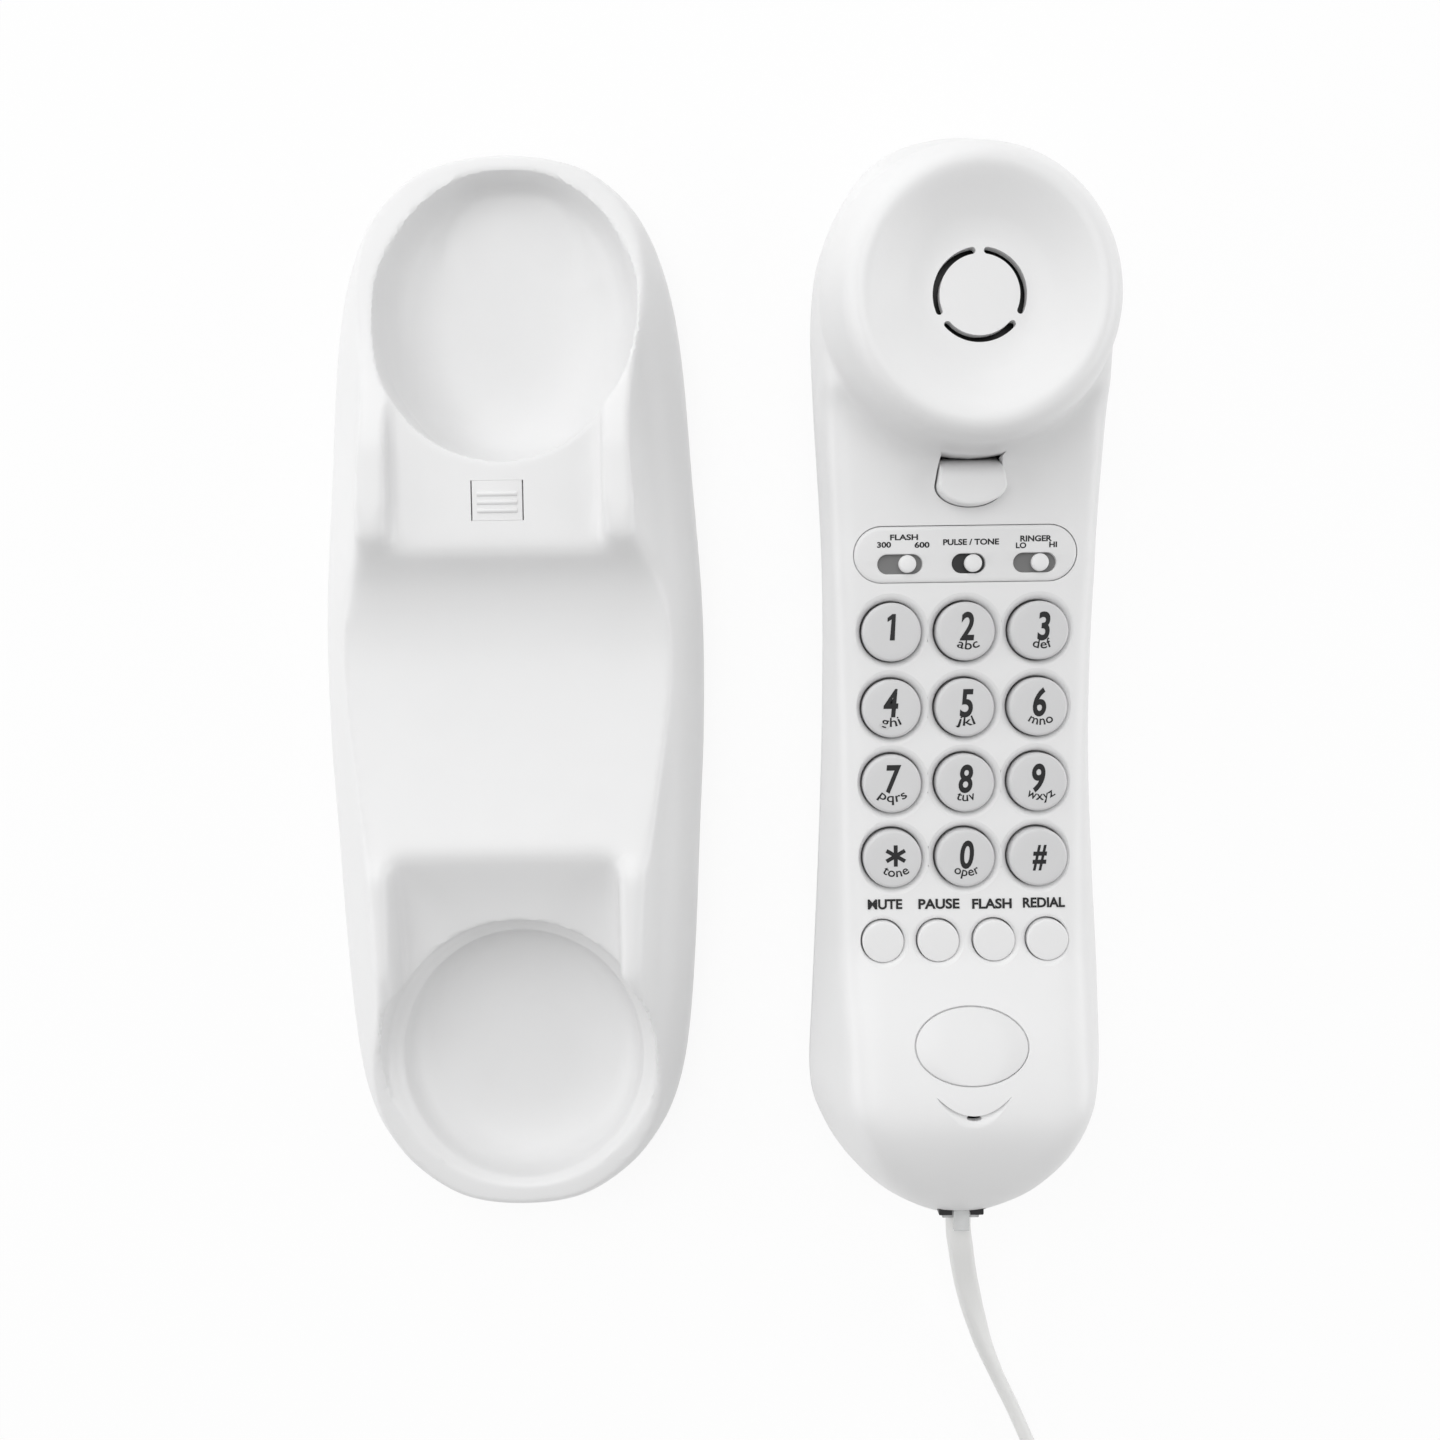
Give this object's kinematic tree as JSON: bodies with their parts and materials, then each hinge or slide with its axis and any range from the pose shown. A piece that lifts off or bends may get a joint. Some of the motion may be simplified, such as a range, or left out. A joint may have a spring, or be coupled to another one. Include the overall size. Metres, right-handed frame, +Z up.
{
  "type": "slimline wall telephone",
  "caption": "Slimline wall telephone: arched wall base with two recesses, one-piece handset with keypad, and a modular line cord.",
  "frame": {"origin": "on the surface that both pieces lie on, under the centre of the base and handset together", "axes": "+Y along both pieces towards the ear ends, +Z up out of the keys, +X from the base towards the handset"},
  "size_m": [0.1597, 0.3611, 0.0519],
  "materials": {
    "white_abs": "fine satin",
    "key_white": "matt",
    "panel_white": "glossy",
    "plate_grey": "matt",
    "rubber": "matt",
    "steel": "zinc plated",
    "dark_plastic": "satin",
    "board_green": "solder mask",
    "brass": "plain",
    "clear_plug": "clear",
    "cord_white": "smooth jacket"
  },
  "bodies": {
    "base": {"cradle_shell": "white_abs", "base_plate": "plate_grey", "base_weight": "steel", "base_foot_upper_right": "rubber", "base_foot_upper_left": "rubber", "base_foot_lower_right": "rubber", "base_foot_lower_left": "rubber", "base_screw_upper_right": "steel", "base_screw_upper_left": "steel", "base_screw_lower_right": "steel", "base_screw_lower_left": "steel"},
    "tab": {"retaining_tab": "white_abs"},
    "handset": {"handset_front": "white_abs", "handset_back": "white_abs", "mouth_inlay": "panel_white", "switch_panel": "panel_white", "flash_time_switch": "dark_plastic", "dial_mode_switch": "dark_plastic", "ringer_level_switch": "dark_plastic", "hook_switch": "dark_plastic", "circuit_board": "board_green", "keypad_membrane": "rubber", "receiver_capsule": "dark_plastic", "receiver_gasket": "rubber", "microphone_capsule": "steel", "microphone_boot": "rubber", "ringer_disc": "brass", "handset_weight": "steel", "handset_screw_upper": "steel", "handset_screw_lower": "steel", "line_jack": "dark_plastic", "handset_plug": "clear_plug", "line_cord": "cord_white", "cord_coil": "cord_white", "cord_tail": "cord_white", "cord_tie": "dark_plastic", "wall_plug": "clear_plug"},
    "hook": {"hook_plunger": "white_abs"},
    "key_1": {"key_1": "key_white"},
    "key_2": {"key_2": "key_white"},
    "key_3": {"key_3": "key_white"},
    "key_4": {"key_4": "key_white"},
    "key_5": {"key_5": "key_white"},
    "key_6": {"key_6": "key_white"},
    "key_7": {"key_7": "key_white"},
    "key_8": {"key_8": "key_white"},
    "key_9": {"key_9": "key_white"},
    "key_star": {"key_star": "key_white"},
    "key_0": {"key_0": "key_white"},
    "key_hash": {"key_hash": "key_white"},
    "key_mute": {"key_mute": "key_white"},
    "key_pause": {"key_pause": "key_white"},
    "key_flash": {"key_flash": "key_white"},
    "key_redial": {"key_redial": "key_white"},
    "flash_time_knob": {"flash_time_knob": "white_abs"},
    "dial_mode_knob": {"dial_mode_knob": "white_abs"},
    "ringer_level_knob": {"ringer_level_knob": "white_abs"}
  },
  "joints": [
    {"name": "handset_lift", "type": "slide", "parent": "base", "child": "handset", "axis": [0, 0, 1], "range_m": [0, 0.06]},
    {"name": "tab_pull", "type": "slide", "parent": "base", "child": "tab", "axis": [0, 0, 1], "range_m": [0, 0.006]},
    {"name": "hook_press", "type": "slide", "parent": "handset", "child": "hook", "axis": [0, 0, -1], "range_m": [0, 0.004], "stiffness_N_per_m": 120},
    {"name": "key_1_press", "type": "slide", "parent": "handset", "child": "key_1", "axis": [0, 0, -1], "range_m": [0, 0.0012], "stiffness_N_per_m": 500},
    {"name": "key_2_press", "type": "slide", "parent": "handset", "child": "key_2", "axis": [0, 0, -1], "range_m": [0, 0.0012], "stiffness_N_per_m": 500},
    {"name": "key_3_press", "type": "slide", "parent": "handset", "child": "key_3", "axis": [0, 0, -1], "range_m": [0, 0.0012], "stiffness_N_per_m": 500},
    {"name": "key_4_press", "type": "slide", "parent": "handset", "child": "key_4", "axis": [0, 0, -1], "range_m": [0, 0.0012], "stiffness_N_per_m": 500},
    {"name": "key_5_press", "type": "slide", "parent": "handset", "child": "key_5", "axis": [0, 0, -1], "range_m": [0, 0.0012], "stiffness_N_per_m": 500},
    {"name": "key_6_press", "type": "slide", "parent": "handset", "child": "key_6", "axis": [0, 0, -1], "range_m": [0, 0.0012], "stiffness_N_per_m": 500},
    {"name": "key_7_press", "type": "slide", "parent": "handset", "child": "key_7", "axis": [0, 0, -1], "range_m": [0, 0.0012], "stiffness_N_per_m": 500},
    {"name": "key_8_press", "type": "slide", "parent": "handset", "child": "key_8", "axis": [0, 0, -1], "range_m": [0, 0.0012], "stiffness_N_per_m": 500},
    {"name": "key_9_press", "type": "slide", "parent": "handset", "child": "key_9", "axis": [0, 0, -1], "range_m": [0, 0.0012], "stiffness_N_per_m": 500},
    {"name": "key_star_press", "type": "slide", "parent": "handset", "child": "key_star", "axis": [0, 0, -1], "range_m": [0, 0.0012], "stiffness_N_per_m": 500},
    {"name": "key_0_press", "type": "slide", "parent": "handset", "child": "key_0", "axis": [0, 0, -1], "range_m": [0, 0.0012], "stiffness_N_per_m": 500},
    {"name": "key_hash_press", "type": "slide", "parent": "handset", "child": "key_hash", "axis": [0, 0, -1], "range_m": [0, 0.0012], "stiffness_N_per_m": 500},
    {"name": "key_mute_press", "type": "slide", "parent": "handset", "child": "key_mute", "axis": [0, 0, -1], "range_m": [0, 0.0008], "stiffness_N_per_m": 500},
    {"name": "key_pause_press", "type": "slide", "parent": "handset", "child": "key_pause", "axis": [0, 0, -1], "range_m": [0, 0.0008], "stiffness_N_per_m": 500},
    {"name": "key_flash_press", "type": "slide", "parent": "handset", "child": "key_flash", "axis": [0, 0, -1], "range_m": [0, 0.0008], "stiffness_N_per_m": 500},
    {"name": "key_redial_press", "type": "slide", "parent": "handset", "child": "key_redial", "axis": [0, 0, -1], "range_m": [0, 0.0008], "stiffness_N_per_m": 500},
    {"name": "flash_time_slide", "type": "slide", "parent": "handset", "child": "flash_time_knob", "axis": [1, 0, 0], "range_m": [-0.0035, 0]},
    {"name": "dial_mode_slide", "type": "slide", "parent": "handset", "child": "dial_mode_knob", "axis": [1, 0, 0], "range_m": [-0.002, 0]},
    {"name": "ringer_level_slide", "type": "slide", "parent": "handset", "child": "ringer_level_knob", "axis": [1, 0, 0], "range_m": [-0.003, 0]}
  ]
}
